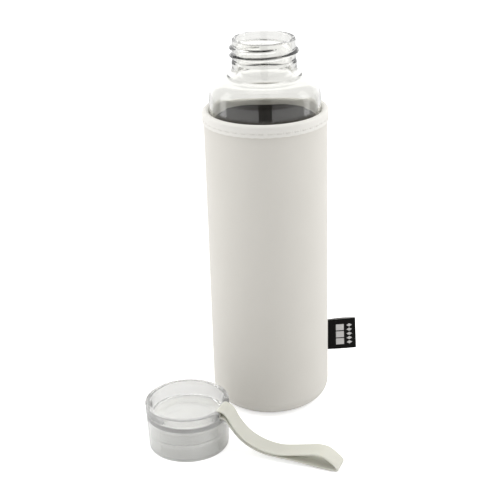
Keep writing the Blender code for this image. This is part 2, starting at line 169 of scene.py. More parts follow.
INSERT_DECK = 1.2
INSERT_TOP = CAP_DECK_UNDER - CAP_GAP
INSERT_DECK_UNDER = INSERT_TOP - INSERT_DECK
INSERT_FOOT = 0.6
GASKET_INNER_R = 15.2
GASKET_OUTER_R = 19.6
GASKET = 1.6
GASKET_ROUND = 0.2
GASKET_BEAD = 0.35

# Slot, bar and strap
STRAP_ANGLE = radians(-20.0)
BAR_X = 22.3
BAR_Z = 24.9
BAR_HALF = 0.95
BAR_CLEARANCE = 0.5       # how far the rim is cut below the bar's underside
SLOT_WIDTH = 15.4
SLOT_FLOOR = 21.8
SLOT_INNER_R = DISH_FLOOR_R - 3.0
SLOT_OUTER_R = CAP_TOP_R + 2.0
STRAP_WIDTH = 11.9
STRAP = 1.25
BEND_R = 2.1

# Label, as reach from the bottle's axis, and its blocks and lozenges, the lowest from its middle
LABEL_ROOT = 36.6
LABEL_TIP = 54.2
LABEL_MIDDLE = (label_low.z + label_high.z) / 2.0
LEAF_INNER = 0.2          # from the middle of the fold to each face of a leaf
LEAF_OUTER = 0.6
LEAF_END = LABEL_TIP - LEAF_OUTER
LABEL_BULGE = 0.6
LABEL_FLARE = 0.6
LABEL_SWAY = 0.20
LABEL_TWIST = 0.30
LABEL_SAG = 0.25
BLOCK_FROM, BLOCK_TO = 41.6, 46.6
BLOCK_HEIGHT, BLOCK_PITCH, BLOCK_LOWEST = 4.2, 4.9, -7.1
LOZENGE_REACH, LOZENGE_HALF = 50.0, 1.8
LOZENGE_HALF_HEIGHT, LOZENGE_PITCH, LOZENGE_LOWEST = 1.15, 2.95, -5.9
PATCH_LAYERS = ((0.0, -0.05), (0.0, 0.04), (0.12, 0.08))    # inset share, lift

# Camera, in metres and radians
CAMERA_AT = (0.0, -0.6927, 0.3910)
CAMERA_LENS = 89.28
CAMERA_YAW = -0.016
CAMERA_PITCH = 0.4017
CAMERA_ROLL = -0.0283
CAMERA_SENSOR = 36.0

# Studio; lamps as (name, place, aim, width, height, radiance), in metres
SOFT_BOXES = (
    ("left_soft_box", (-0.75, 0.05, 0.30), (0.0, 0.0, 0.15), 0.25, 0.8, 1.6),
    ("right_soft_box", (0.75, 0.05, 0.30), (0.0, 0.0, 0.15), 0.25, 0.8, 1.6),
    ("top_soft_box", (0.0, 0.0, 1.0), (0.0, 0.0, 0.0), 0.6, 0.6, 0.6),
)
FLOOR_R = 420.0
FLOOR_DROP = 0.05
FLOOR_RIM = 4.0
FLOOR_GLOW = 0.55         # seen by the camera alone
WORLD_LEVEL = 1.3
WORLD_FRONT = 0.60
WORLD_LOW_BACK = 0.95     # below the horizon, behind
WORLD_LOW_FRONT = 1.4
WORLD_SEEN = 1.5          # least brightness of the backdrop to the camera
BAND_HALF = 0.242         # half width of the dark band, as a share of the way to it
BAND_LOW = -0.52
BAND_SOFT = 0.03
BAND_DARK = 0.85
LIGHT_BOUNCES = 28

# Linear colours; tones are a pair, at a pattern's 0 and at its 1
# In the hollows of the knit, the plies and the weave, the first tone is painted shade
WHITE = (1.0, 1.0, 1.0, 1.0)
GLASS_TINT = (0.925, 0.923, 0.900)
CAP_TINT = (0.93, 0.93, 0.92)
INSERT_TINT = (0.92, 0.92, 0.91)
SLEEVE_TONES = (0.645, 0.623, 0.575), (0.705, 0.683, 0.635)
BINDING_TONES = (0.745, 0.73, 0.69), (0.805, 0.79, 0.75)
LINING_TONES = (0.062, 0.055, 0.048), (0.090, 0.080, 0.070)
THREAD_TONES = (0.60, 0.58, 0.54), (0.72, 0.70, 0.66)
SEAL_TONES = (0.80, 0.80, 0.78), (0.86, 0.86, 0.84)
STRAP_TONES = (0.58, 0.575, 0.51), (0.61, 0.605, 0.54)
LABEL_TONES = (0.004, 0.0038, 0.0036), (0.009, 0.0085, 0.008)
REVERSE_TONES = (0.42, 0.41, 0.40), (0.54, 0.53, 0.52)
WEFT_TONES = (0.52, 0.51, 0.50), (0.66, 0.65, 0.64)
TABLE_TONES = (0.82, 0.82, 0.82), (0.84, 0.84, 0.84)

# Clear materials
GLASS_IOR = 1.5
PLASTIC_IOR = 1.49
CAP_CLEARNESS = 0.88      # share of the light that isn't scattered back
INSERT_CLEARNESS = 0.74
SHADOW_TINT = 0.97

FINE = 240                # sides of a full turn
NOISE_STEP = 17.3         # how far apart the noise of two seeds is read


# ---------------- numbers and curves

def ramp(value):
    """0 to 1 with soft ends."""
    value = np.clip(value, 0.0, 1.0)
    return value * value * (3.0 - 2.0 * value)


def arc(centre_r, centre_z, radius, start, end, steps):
    """Points along an arc in the (radius, height) plane, angles in degrees from +r."""
    turns = np.radians(np.linspace(start, end, steps + 1))
    return [(centre_r + radius * cos(t), centre_z + radius * sin(t)) for t in turns]


def line(start, end, steps):
    """Points from start to end, both left out."""
    shares = np.arange(1, steps) / steps
    return [tuple(np.add(start, np.subtract(end, start) * share)) for share in shares]


def flat_face(radius, height, start, end, count):
    """Points across a level face, from one share of the radius to another."""
    return [(radius * share, height) for share in np.linspace(start, end, count)]


def ridge(angle, height, zero, start, end):
    """How proud a one-start thread stands at each angle and height, from 0 to 1."""
    turn = np.degrees(angle) % 360.0
    proud = np.zeros(np.broadcast(angle, height).shape)
    for lap in range(int(end // 360) + 1):
        so_far = turn + 360.0 * lap
        centre = zero + PITCH * so_far / 360.0
        across = ramp((THREAD_HALF - abs(height - centre)) / (0.85 * THREAD_HALF))
        ends = ramp((so_far - start) / THREAD_FADE) * ramp((end - so_far) / THREAD_FADE)
        proud = np.maximum(proud, across * ends)
    return proud


def smooth_loop(points, per_span):
    """Points on a smooth closed curve through the given points."""
    padded = [points[-1], *points, points[0], points[1]]
    curve = []
    for before, start, end, after in zip(padded, padded[1:], padded[2:], padded[3:]):
        for step in range(per_span):
            t = step / per_span
            curve.append(0.5 * (2 * start + (end - before) * t
                                + (2 * before - 5 * start + 4 * end - after) * t * t
                                + (3 * start - before - 3 * end + after) * t * t * t))
    return np.array(curve)


def soft_noise(places, scale, seed):
    """Smooth noise from -1 to 1 at each of the points, whose features are about scale wide."""
    flat = places.reshape(-1, 3) / scale + seed * NOISE_STEP
    return np.array([noise.noise(Vector(p)) for p in flat]).reshape(places.shape[:-1])


def unevenness(radius, height, angle, layers):
    """The sum of layers of soft noise over a turned surface."""
    places = np.stack((radius * np.cos(angle), radius * np.sin(angle), height), axis=2)
    return sum(depth * soft_noise(places, width, seed) for depth, width, seed in layers)


def bell(distance, half_width):
    """1 at no distance, falling smoothly to nothing past a few half widths."""
    return np.exp(-(distance / half_width) ** 2)


# ---------------- meshes

def running_lengths(points):
    """Length along a row of points up to each of them, and 1 mm more where the row closes."""
    steps = np.linalg.norm(np.diff(points, axis=0), axis=1)
    return np.concatenate(([0.0], np.cumsum(steps), [np.sum(steps) + 1.0]))


def grid(name, places, wrap_rows=False, along=None, across=None):
    """A mesh of quads through closed rows of points; its UV map holds lengths in millimetres.

    along and across give each row's and column's place in the UV map, with one more value
    where the rows or columns close on themselves.
    """
    rows, columns = places.shape[:2]
    row_spans = rows if wrap_rows else rows - 1
    along = running_lengths(places[:, 0]) if along is None else along
    across = running_lengths(places[0]) if across is None else across
    row, column = np.meshgrid(np.arange(row_spans), np.arange(columns), indexing="ij")
    row, column = row.ravel(), column.ravel()
    next_row, next_column = (row + 1) % rows, (column + 1) % columns
    corners = np.stack((row * columns + column, row * columns + next_column,
                        next_row * columns + next_column, next_row * columns + column), axis=1)
    mesh = bpy.data.meshes.new(name)
    mesh.from_pydata((places.reshape(-1, 3) * MM).tolist(), [], corners.tolist())
    u = np.stack((across[column], across[column + 1], across[column + 1], across[column]), axis=1)
    v = np.stack((along[row], along[row], along[row + 1], along[row + 1]), axis=1)
    layer = mesh.uv_layers.new(name="lengths")
    layer.data.foreach_set("uv", np.stack((u, v), axis=2).ravel())
    return mesh


def in_scene(name, data):
    """A new object in the scene."""
    made = bpy.data.objects.new(name, data)
    bpy.context.scene.collection.objects.link(made)
    return made


def close_holes(bm):
    open_edges = [edge for edge in bm.edges if edge.is_boundary]
    bmesh.ops.holes_fill(bm, edges=open_edges, sides=0)


def finish(name, mesh, look, body, replaced=(), ends=False, sharp=50.0):
    """Close and turn the mesh the right way, and make it a piece that rides on its body."""
    bm = bmesh.new()
    bm.from_mesh(mesh)
    bmesh.ops.remove_doubles(bm, verts=bm.verts, dist=1e-7)
    if ends:
        close_holes(bm)
    bmesh.ops.recalc_face_normals(bm, faces=bm.faces)
    bm.to_mesh(mesh)
    bm.free()
    mesh.shade_smooth()
    mesh.set_sharp_from_angle(angle=radians(sharp))
    mesh.materials.append(look)
    made = in_scene(name, mesh)
    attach(made, body)
    if replaced:
        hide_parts(*replaced)
    return made


def finish_joined(name, joined, look, body, replaced=(), sharp=50.0):
    """Close the ends of the small meshes gathered in one bmesh, and finish them as one piece."""
    close_holes(joined)
    mesh = bpy.data.meshes.new(name)
    joined.to_mesh(mesh)
    joined.free()
    return finish(name, mesh, look, body, replaced, sharp=sharp)


def turned(profile, closed, centre=(0.0, 0.0), angles=None, shape=None, uv_radius=None):
    """Rows of points of a body turned about an upright axis, with the UV lengths of both ways.

    shape(radius, height, angle) may return a changed radius and height.
    """
    profile = np.array(profile)
    if angles is None:
        angles = np.arange(FINE) * tau / FINE
    radius = np.repeat(profile[:, :1], len(angles), axis=1)
    height = np.repeat(profile[:, 1:], len(angles), axis=1)
    if shape:
        radius, height = shape(radius, height, angles[None, :])
    x = centre[0] + radius * np.cos(angles)
    y = centre[1] + radius * np.sin(angles)
    ring = np.vstack((profile, profile[:1])) if closed else profile
    along = running_lengths(ring)
    across = np.append(angles, angles[0] + tau) * (uv_radius or profile[:, 0].max())
    return np.stack((x, y, height), axis=2), along, across


def turned_piece(name, profile, closed, look, body, slot, replaced=(), sharp=50.0, **options):
    """A finished piece turned about an upright axis; options are those of turned()."""
    places, along, across = turned(profile, closed, **options)
    mesh = grid(name, places, wrap_rows=closed, along=along, across=across)
    return finish(name, mesh, look, body, replaced, sharp=sharp)


# ---------------- materials

def node(tree, kind, **settings):
    """A new node with some of its settings changed."""
    made = tree.nodes.new(kind)
    for key, value in settings.items():
        setattr(made, key, value)
    return made


def maths(tree, operation, *values):
    """A Math node's output; each value is a socket or a number."""
    made = node(tree, "ShaderNodeMath", operation=operation)
    for index, value in enumerate(values):
        if isinstance(value, (int, float)):
            made.inputs[index].default_value = value
        else:
            tree.links.new(value, made.inputs[index])
    return made.outputs[0]


def times(tree, first, second):
    return maths(tree, "MULTIPLY", first, second)


def plus(tree, first, second):
    return maths(tree, "ADD", first, second)


def wave(tree, value, length):
    """A sine that repeats each time the value grows by the length."""
    return maths(tree, "SINE", times(tree, value, tau / length))


def noise_of(tree, vector, scale, detail=2.0, roughness=0.5):
    """Noise whose features are about one over the scale wide, in metres."""
    made = node(tree, "ShaderNodeTexNoise")
    made.inputs["Scale"].default_value = scale
    made.inputs["Detail"].default_value = detail
    made.inputs["Roughness"].default_value = roughness
    tree.links.new(vector, made.inputs["Vector"])
    return made.outputs["Fac"]


def two_tones(tree, factor, tones):
    """A colour between the two tones, by a factor from 0 to 1."""
    made = node(tree, "ShaderNodeValToRGB")
    for element, tone in zip(made.color_ramp.elements, tones):
        element.color = (*tone, 1.0)
    tree.links.new(factor, made.inputs["Fac"])
    return made.outputs["Color"]


def soft_step(tree, value, start, end, first, second):
    """Passes softly from the first value to the second as value goes from start to end."""
    made = node(tree, "ShaderNodeMapRange", interpolation_type="SMOOTHSTEP")
    limits = {"From Min": start, "From Max": end, "To Min": first, "To Max": second}
    for name, number in limits.items():
        made.inputs[name].default_value = number
    tree.links.new(value, made.inputs["Value"])
    return made.outputs[0]


def bump(tree, height, distance, strength=1.0, after=None):
    """A normal raised by height times distance, in millimetres, on top of the normal after."""
    made = node(tree, "ShaderNodeBump")
    made.inputs["Strength"].default_value = strength
    made.inputs["Distance"].default_value = distance * MM
    tree.links.new(height, made.inputs["Height"])
    if after:
        tree.links.new(after, made.inputs["Normal"])
    return made.outputs["Normal"]


def lengths(tree):
    """The UV map's two lengths in millimetres, as (u, v) sockets."""
    source = node(tree, "ShaderNodeUVMap", uv_map="lengths")
    parts = node(tree, "ShaderNodeSeparateXYZ")
    tree.links.new(source.outputs["UV"], parts.inputs[0])
    return parts.outputs["X"], parts.outputs["Y"]


def solid_place(tree):
    """The piece's own coordinates, in metres."""
    return node(tree, "ShaderNodeTexCoord").outputs["Object"]


def new_look(name, roughness, specular=0.5, sheen=0.0):
    """A new material, its node tree and its shader."""
    made = bpy.data.materials.new(name)
    made.use_nodes = True
    shader = made.node_tree.nodes["Principled BSDF"]
    shader.inputs["Roughness"].default_value = roughness
    shader.inputs["Specular IOR Level"].default_value = specular
    shader.inputs["Sheen Weight"].default_value = sheen
    shader.inputs["Sheen Roughness"].default_value = 0.5
    return made, made.node_tree, shader


def dress(tree, shader, colour, normal):
    """Give the shader its colour and its normal."""
    tree.links.new(colour, shader.inputs["Base Color"])
    tree.links.new(normal, shader.inputs["Normal"])


def glass_look(name, tint, ior, clearness):
    """Clear glass or slightly milky plastic, which lamps shine through."""
    made, tree, shader = new_look(name, 0.0)
    shader.inputs["Base Color"].default_value = (*tint, 1.0)
    shader.inputs["IOR"].default_value = ior
    shader.inputs["Transmission Weight"].default_value = clearness
    path = node(tree, "ShaderNodeLightPath")
    clear = node(tree, "ShaderNodeBsdfTransparent")
    clear.inputs["Color"].default_value = (*(part * SHADOW_TINT for part in tint), 1.0)
    mix = node(tree, "ShaderNodeMixShader")
    tree.links.new(path.outputs["Is Shadow Ray"], mix.inputs[0])
    tree.links.new(shader.outputs[0], mix.inputs[1])
    tree.links.new(clear.outputs[0], mix.inputs[2])
    tree.links.new(mix.outputs[0], tree.nodes["Material Output"].inputs["Surface"])
    return made


def knit_height(tree, wale, course):
    """Columns of small arches, as a jersey face shows: 0 in the valleys, 1 on the loops.

    wale is the width of a column of loops and course the height of a loop.
    """
    u, v = lengths(tree)
    columns = maths(tree, "ABSOLUTE", wave(tree, u, 2.0 * wale))
    lean = times(tree, columns, 0.35 * course)
    rows = maths(tree, "ABSOLUTE", wave(tree, plus(tree, v, lean), 2.0 * course))
    return times(tree, columns, plus(tree, times(tree, rows, 0.6), 0.4))


def fabric_look(name, tones, wale, course, depth, roughness, sheen):
    """Fine knitted cloth with a faint melange, painted shade in the knit's valleys, and a soft
    fuzz.
    """
    made, tree, shader = new_look(name, roughness, 0.25, sheen)
    place = solid_place(tree)
    blotches = noise_of(tree, place, 45.0, 3.0)
    melange = noise_of(tree, place, 1400.0, 2.0)
    knit = knit_height(tree, wale, course)
    mixed = plus(tree, times(tree, blotches, 0.45), times(tree, melange, 0.35))
    # The knit's valleys take the darker tone: painted shade, on top of the real melange and
    # blotches
    mixed = plus(tree, mixed, times(tree, knit, 0.30))
    fuzz = bump(tree, noise_of(tree, place, 2600.0, 3.0, 0.7), 0.04, 0.5)
    dress(tree, shader, two_tones(tree, mixed, tones), bump(tree, knit, depth, 0.6, fuzz))
    return made


def thread_look():
    """Twisted sewing thread: diagonal plies, with painted shade in the grooves between them."""
    made, tree, shader = new_look("sewing_thread", 0.6, 0.4, 0.3)
    u, v = lengths(tree)
    plies = wave(tree, plus(tree, times(tree, u, 2.0), v), 0.55)
    height = plus(tree, times(tree, plies, 0.5), 0.5)
    # The grooves between the plies take the darker thread tone: painted shade
    dress(tree, shader, two_tones(tree, height, THREAD_TONES), bump(tree, height, 0.06, 0.8))
    return made


def rubber_look(name, tones, roughness):
    """Soft moulded rubber with a fine matt grain."""
    made, tree, shader = new_look(name, roughness, 0.4)
    shader.inputs["Subsurface Weight"].default_value = 0.5
    shader.inputs["Subsurface Radius"].default_value = (1.0, 0.97, 0.85)
    shader.inputs["Subsurface Scale"].default_value = 0.004
    place = solid_place(tree)
    cloud = noise_of(tree, place, 60.0, 3.0)
    grain = noise_of(tree, place, 3500.0, 2.0, 0.6)
    rough = node(tree, "ShaderNodeMapRange")
    rough.inputs["To Min"].default_value = roughness - 0.06
    rough.inputs["To Max"].default_value = roughness + 0.08
    tree.links.new(grain, rough.inputs["Value"])
    tree.links.new(rough.outputs[0], shader.inputs["Roughness"])
    dress(tree, shader, two_tones(tree, cloud, tones), bump(tree, grain, 0.015, 0.5))
    return made


def tape_look(name, tones):
    """Woven satin tape: fine diagonal floats, with painted shade where the weave lies low."""
    made, tree, shader = new_look(name, 0.7, 0.08)
    u, v = lengths(tree)
    twill = wave(tree, plus(tree, u, v), 0.45)
    picks = wave(tree, v, 0.22)
    weave = plus(tree, plus(tree, times(tree, twill, 0.3), times(tree, picks, 0.2)), 0.5)
    # Where the weave lies low it takes the darker tone: painted shade
    dress(tree, shader, two_tones(tree, weave, tones), bump(tree, weave, 0.05, 0.7))
    return made


# ---------------- bottle

def shoulder_wall(angle):
    """Thickness of the glass on the shoulder's arc, which grows towards the neck."""
    share = min(max((angle - THICKENING_FROM) / (THICKENING_TO - THICKENING_FROM), 0.0), 1.0)
    return GLASS_WALL + SHOULDER_THICKENING * share


def tangent_fillet(arc_r, arc_z, arc_radius, neck_r, fillet):
    """Centre of a fillet between an arc and the neck above, and the arc's angle where they meet."""
    centre_r = neck_r + fillet
    rise = np.sqrt((arc_radius + fillet) ** 2 - (centre_r - arc_r) ** 2)
    return centre_r, arc_z + rise, np.degrees(np.arctan2(rise, centre_r - arc_r))


def glass_profile():
    """The glass's section from the middle of the base up the outside and down the inside."""
    corner_r = GLASS_R - GLASS_CORNER
    corner_z = GLASS_FOOT + GLASS_CORNER
    shoulder_r = GLASS_R - SHOULDER_ROUND
    shoulder_z = SHOULDER_TOP - SHOULDER_ROUND
    inner_r = GLASS_R - GLASS_WALL
    inner_corner = GLASS_CORNER - GLASS_WALL
    inner_floor = GLASS_FOOT + BASE_GLASS
    shares = np.linspace(0.0, 0.98, 14)
    outside = [(corner_r * share, GLASS_FOOT + PUNT_DEPTH * (1.0 - share ** 4)) for share in shares]
    outside += arc(corner_r, corner_z, GLASS_CORNER, -90, 0, 14)
    outside += line((GLASS_R, corner_z), (GLASS_R, shoulder_z), 24)
    fillet_r, fillet_z, meeting = tangent_fillet(shoulder_r, shoulder_z, SHOULDER_ROUND,
                                                 NECK_BASE_R, NECK_FILLET)
    outside += arc(shoulder_r, shoulder_z, SHOULDER_ROUND, 0, meeting, 38)
    outside += arc(fillet_r, fillet_z, NECK_FILLET, 180 + meeting, 180, 22)[1:]
    for height in np.linspace(NECK_BASE_TOP - 0.6, GLASS_TOP - LIP_ROUND - 0.2, 90):
        narrowed = ramp((height - NECK_BASE_TOP) / NECK_BASE_TAPER)
        outside.append((NECK_BASE_R + (NECK_R - NECK_BASE_R) * narrowed, height))
    outside += arc(NECK_R - LIP_ROUND, GLASS_TOP - LIP_ROUND, LIP_ROUND, 0, 90, 8)
    inside = arc(BORE_R + LIP_ROUND, GLASS_TOP - LIP_ROUND, LIP_ROUND, 90, 180, 8)
    crown = SHOULDER_ROUND - GLASS_WALL - SHOULDER_THICKENING
    fillet_r, fillet_z, meeting = tangent_fillet(shoulder_r, shoulder_z, crown,
                                                 BORE_R, INNER_FILLET)
    inside += line((BORE_R, GLASS_TOP - LIP_ROUND), (BORE_R, fillet_z), 16)
    inside += arc(fillet_r, fillet_z, INNER_FILLET, 180, 180 + meeting, 20)
    for angle in np.linspace(meeting, 0, 54)[1:]:
        reach = SHOULDER_ROUND - shoulder_wall(angle)
        inside.append((shoulder_r + reach * cos(radians(angle)),
                       shoulder_z + reach * sin(radians(angle))))
    inside += line((inner_r, shoulder_z), (inner_r, inner_floor + inner_corner), 24)
    flat_r = inner_r - inner_corner
    inside += arc(flat_r, inner_floor + inner_corner, inner_corner, 0, -90, 10)
    inside += flat_face(flat_r, inner_floor, 0.9, 0.0, 8)
    return outside + inside


def neck_thread(radius, height, angle):
    """The thread's ridge on the outside of the neck."""
    outside = (radius > BORE_R + LIP_ROUND) & (height > NECK_BASE_TOP)
    proud = ridge(angle, height, THREAD_ZERO, THREAD_FROM, THREAD_TO)
    return radius + outside * proud * (THREAD_CREST_R - NECK_R), height


def make_bottle():
    look = glass_look("bottle_glass", GLASS_TINT, GLASS_IOR, 1.0)
    turned_piece("blown_glass_bottle", glass_profile(), False, look, "bottle", "bottle_glass",
                 ("glass_bottle",), shape=neck_thread, sharp=80.0)


# ---------------- cap

def cap_profile():
    """The cap's outer shell: its section from under the deck round to the middle of the dish."""
    round_r = CAP_CAVITY_R - CAP_CAVITY_ROUND
    round_z = CAP_DECK_UNDER - CAP_CAVITY_ROUND
    profile = flat_face(CAP_CAVITY_R, CAP_DECK_UNDER, 0.0, 0.98, 8)
    profile += arc(round_r, round_z, CAP_CAVITY_ROUND, 90, 0, 4)
    profile += line((CAP_CAVITY_R, round_z), (CAP_CAVITY_R, CAP_MOUTH_ROUND), 10)
    profile += arc(CAP_CAVITY_R + CAP_MOUTH_ROUND, CAP_MOUTH_ROUND, CAP_MOUTH_ROUND, 180, 270, 4)
    profile += arc(CAP_FOOT_R - CAP_EDGE, CAP_EDGE, CAP_EDGE, -90, 0, 6)
    profile += line((CAP_FOOT_R, CAP_EDGE), (CAP_TOP_R, CAP_HEIGHT - CAP_EDGE), 20)
    profile += arc(CAP_TOP_R - CAP_EDGE, CAP_HEIGHT - CAP_EDGE, CAP_EDGE, 0, 90, 8)
    profile += arc(DISH_TOP_R + CAP_EDGE, CAP_HEIGHT - CAP_EDGE, CAP_EDGE, 90, 180, 8)
    profile += line((DISH_TOP_R, CAP_HEIGHT - CAP_EDGE),
                    (DISH_FLAT_R + DISH_ROUND, DISH_FLOOR + DISH_ROUND), 8)
    profile += arc(DISH_FLAT_R, DISH_FLOOR + DISH_ROUND, DISH_ROUND, 0, -90, 8)
    profile += flat_face(DISH_FLOOR_R, DISH_FLOOR, 0.9, 0.0, 8)
    return profile


def cutter(name, corners, width):
    """A prism for a Boolean: an outline in the strap's plane, pulled out across the strap."""
    bm = bmesh.new()
    near = [bm.verts.new((x, -width / 2.0, z)) for x, z in corners]
    far = [bm.verts.new((x, width / 2.0, z)) for x, z in corners]
    bm.faces.new(near)
    bm.faces.new(far[::-1])
    for index in range(len(corners)):
        following = (index + 1) % len(corners)
        bm.faces.new((near[following], near[index], far[index], far[following]))
    bmesh.ops.recalc_face_normals(bm, faces=bm.faces)
    place = Matrix.Translation((CAP_X, CAP_Y, 0.0)) @ Matrix.Rotation(STRAP_ANGLE, 4, "Z")
    bmesh.ops.transform(bm, matrix=Matrix.Scale(MM, 4) @ place, verts=bm.verts)
    mesh = bpy.data.meshes.new(name)
    bm.to_mesh(mesh)
    bm.free()
    return in_scene(name, mesh)


def slot_outline():
    """The slot through the rim, under the bar."""
    top = BAR_Z - BAR_HALF
    return [(SLOT_INNER_R, SLOT_FLOOR), (SLOT_OUTER_R, SLOT_FLOOR),
            (SLOT_OUTER_R, top), (SLOT_INNER_R, top)]


def clearance_outline():
    """What is taken off the rim in front of, above and behind the straight bar."""
    low, high = BAR_Z - BAR_HALF - BAR_CLEARANCE, BAR_Z + BAR_HALF
    left, right = BAR_X - BAR_HALF, BAR_X + BAR_HALF
    above = CAP_HEIGHT + 2.0
    return [(SLOT_INNER_R, low), (left, low), (left, high), (right, high), (right, low),
            (SLOT_OUTER_R, low), (SLOT_OUTER_R, above), (SLOT_INNER_R, above)]


def cut(piece, tools):
    """Take the tools off the piece, apply the cuts and remove the tools."""
    for tool in tools:
        step = piece.modifiers.new(tool.name, "BOOLEAN")
        step.operation = "DIFFERENCE"
        step.object = tool
    graph = bpy.context.evaluated_depsgraph_get()
    made = bpy.data.meshes.new_from_object(piece.evaluated_get(graph),
                                           preserve_all_data_layers=True, depsgraph=graph)
    piece.modifiers.clear()
    piece.data = made
    for tool in tools:
        bpy.data.objects.remove(tool, do_unlink=True)


def insert_profile():
    """The threaded cup's section: over its deck, down outside, and up its bore."""
    flat_r = INSERT_R - INSERT_ROUND
    flat_bore_r = INSERT_BORE_R - INSERT_BORE_ROUND
    bore_top = INSERT_DECK_UNDER - INSERT_BORE_ROUND
    profile = flat_face(flat_r, INSERT_TOP, 0.0, 0.96, 10)
    profile += arc(flat_r, INSERT_TOP - INSERT_ROUND, INSERT_ROUND, 90, 0, 6)
    profile += line((INSERT_R, INSERT_TOP - INSERT_ROUND), (INSERT_R, INSERT_FOOT), 10)
    profile += [(INSERT_R, INSERT_FOOT), (INSERT_R - 0.2, INSERT_FOOT - 0.05)]
    profile += [(INSERT_BORE_R + 0.4, INSERT_FOOT)]
    profile += [(INSERT_BORE_R, height) for height in np.linspace(INSERT_FOOT + 0.3, bore_top, 84)]
    profile += arc(flat_bore_r, bore_top, INSERT_BORE_ROUND, 0, 90, 4)
    profile += flat_face(flat_bore_r, INSERT_DECK_UNDER, 0.96, 0.0, 10)
    return profile


def insert_thread(radius, height, angle):
    """The thread's ridge on the inside of the cap, turned so that it meets the neck's."""
    zero = INSERT_DECK_UNDER - GASKET - CAP_GAP - (GLASS_TOP - THREAD_ZERO)
    proud = ridge(angle, height, zero + PITCH / 2.0, THREAD_FROM, THREAD_TO - 180.0)
    bore = abs(radius - INSERT_BORE_R) < 1e-6
    return radius - bore * proud * (INSERT_BORE_R - INSERT_CREST_R), height


def gasket_profile():
    """The sealing ring's section: flat on top, with a soft bead below that meets the lip."""
    top = INSERT_DECK_UNDER - CAP_GAP
    low = top - GASKET
    middle = (GASKET_INNER_R + GASKET_OUTER_R) / 2.0
    half = (GASKET_OUTER_R - GASKET_INNER_R) / 2.0
    profile = arc(GASKET_INNER_R + GASKET_ROUND, top - GASKET_ROUND, GASKET_ROUND, 180, 90, 3)
    profile += arc(GASKET_OUTER_R - GASKET_ROUND, top - GASKET_ROUND, GASKET_ROUND, 90, 0, 3)
    for across in np.linspace(1.0, -1.0, 17):
        bead = GASKET_BEAD * (1.0 - cos(pi * min(1.0, 2.0 * (1.0 - abs(across))))) / 2.0
        profile.append((middle + half * across, low + GASKET_BEAD - bead))
    return profile


def make_cap():
    centre = (CAP_X, CAP_Y)
    clear = glass_look("clear_cap_plastic", CAP_TINT, PLASTIC_IOR, CAP_CLEARNESS)
    milky = glass_look("milky_insert_plastic", INSERT_TINT, PLASTIC_IOR, INSERT_CLEARNESS)
    shell = turned_piece("moulded_cap_shell", cap_profile(), False, clear, "cap", "cap_plastic",
                         ("cap_shell",), centre=centre)
    cut(shell, [cutter("slot_tool", slot_outline(), SLOT_WIDTH),
                cutter("clearance_tool", clearance_outline(), SLOT_WIDTH)])
    turned_piece("threaded_cap_insert", insert_profile(), False, milky, "cap", "cap_plastic",
                 ("cap_insert",), centre=centre, shape=insert_thread)
    seal = rubber_look("seal_silicone", SEAL_TONES, 0.4)
    turned_piece("sealing_ring", gasket_profile(), True, seal, "cap", "seal_silicone",
                 ("cap_gasket",), centre=centre, sharp=40.0)


# ---------------- strap

def strap_route():
    """The middle of the strap's thickness, once round, as (reach from the cap's axis, height)."""
    outward = [(24.8, 26.2), (27.2, 23.9), (30.4, 18.3), (36.0, 11.8), (42.4, 7.9), (49.0, 5.7)]
    outward += [(57.0, 4.9), (65.0, 6.2), (73.0, 7.9), (79.5, 9.2), (85.0, 8.6), (90.0, 5.3)]
    outward += [(92.8, 2.5)]
    back = [(92.6, 1.2), (89.0, 1.0), (82.0, 1.4), (73.0, 2.4), (65.0, 3.0), (57.0, 3.3)]
    back += [(48.7, 4.2), (41.8, 6.5), (35.0, 10.7), (29.2, 17.4), (26.4, 21.6), (24.6, 22.7)]
    over_bar = (BAR_X, BAR_Z + BEND_R)
    bend = arc(BAR_X, BAR_Z, BEND_R, 270, 90, 6)[:-1]
    return smooth_loop([Vector(point) for point in (over_bar, *outward, *back, *bend)], 10)


def strap_section():
    """A flat band with rounded edges, as (across, through) offsets."""
    half = STRAP / 2.0
    flat = STRAP_WIDTH / 2.0 - half
    turns = np.linspace(0, pi, 7)
    points = [(-flat, half), (-flat / 3, half), (flat / 3, half)]
    points += [(flat + half * sin(turn), half * cos(turn)) for turn in turns]
    points += [(flat / 3, -half), (-flat / 3, -half)]
    points += [(-flat - half * sin(turn), -half * cos(turn)) for turn in turns[:-1]]
    return np.array(points)


def make_strap():
    route = strap_route()
    steps = np.roll(route, -1, axis=0) - np.roll(route, 1, axis=0)
    steps /= np.linalg.norm(steps, axis=1)[:, None]
    reach = np.array((cos(STRAP_ANGLE), sin(STRAP_ANGLE), 0.0))
    side = np.array((-sin(STRAP_ANGLE), cos(STRAP_ANGLE), 0.0))
    up = np.array((0.0, 0.0, 1.0))
    centres = np.array((CAP_X, CAP_Y, 0.0)) + route[:, :1] * reach + route[:, 1:] * up
    ups = -steps[:, 1:] * reach + steps[:, :1] * up
    section = strap_section()
    places = (centres[:, None, :] + side * section[None, :, :1]
              + ups[:, None, :] * section[None, :, 1:])
    mesh = grid("looped_carry_strap", places, wrap_rows=True)
    look = rubber_look("strap_rubber", STRAP_TONES, 0.55)
    finish("looped_carry_strap", mesh, look, "strap", ("carry_strap",), sharp=60.0)


# ---------------- sleeve

def sleeve_angles():
    """Columns round the sleeve, closer together beside the side seam."""
    even = np.arange(FINE) * tau / FINE
    near = SEAM_ANGLE + np.linspace(-5.0, 5.0, 61) / SLEEVE_R
    clear = even[abs(even - SEAM_ANGLE) > 5.2 / SLEEVE_R]
    return np.sort(np.concatenate((clear, near)))


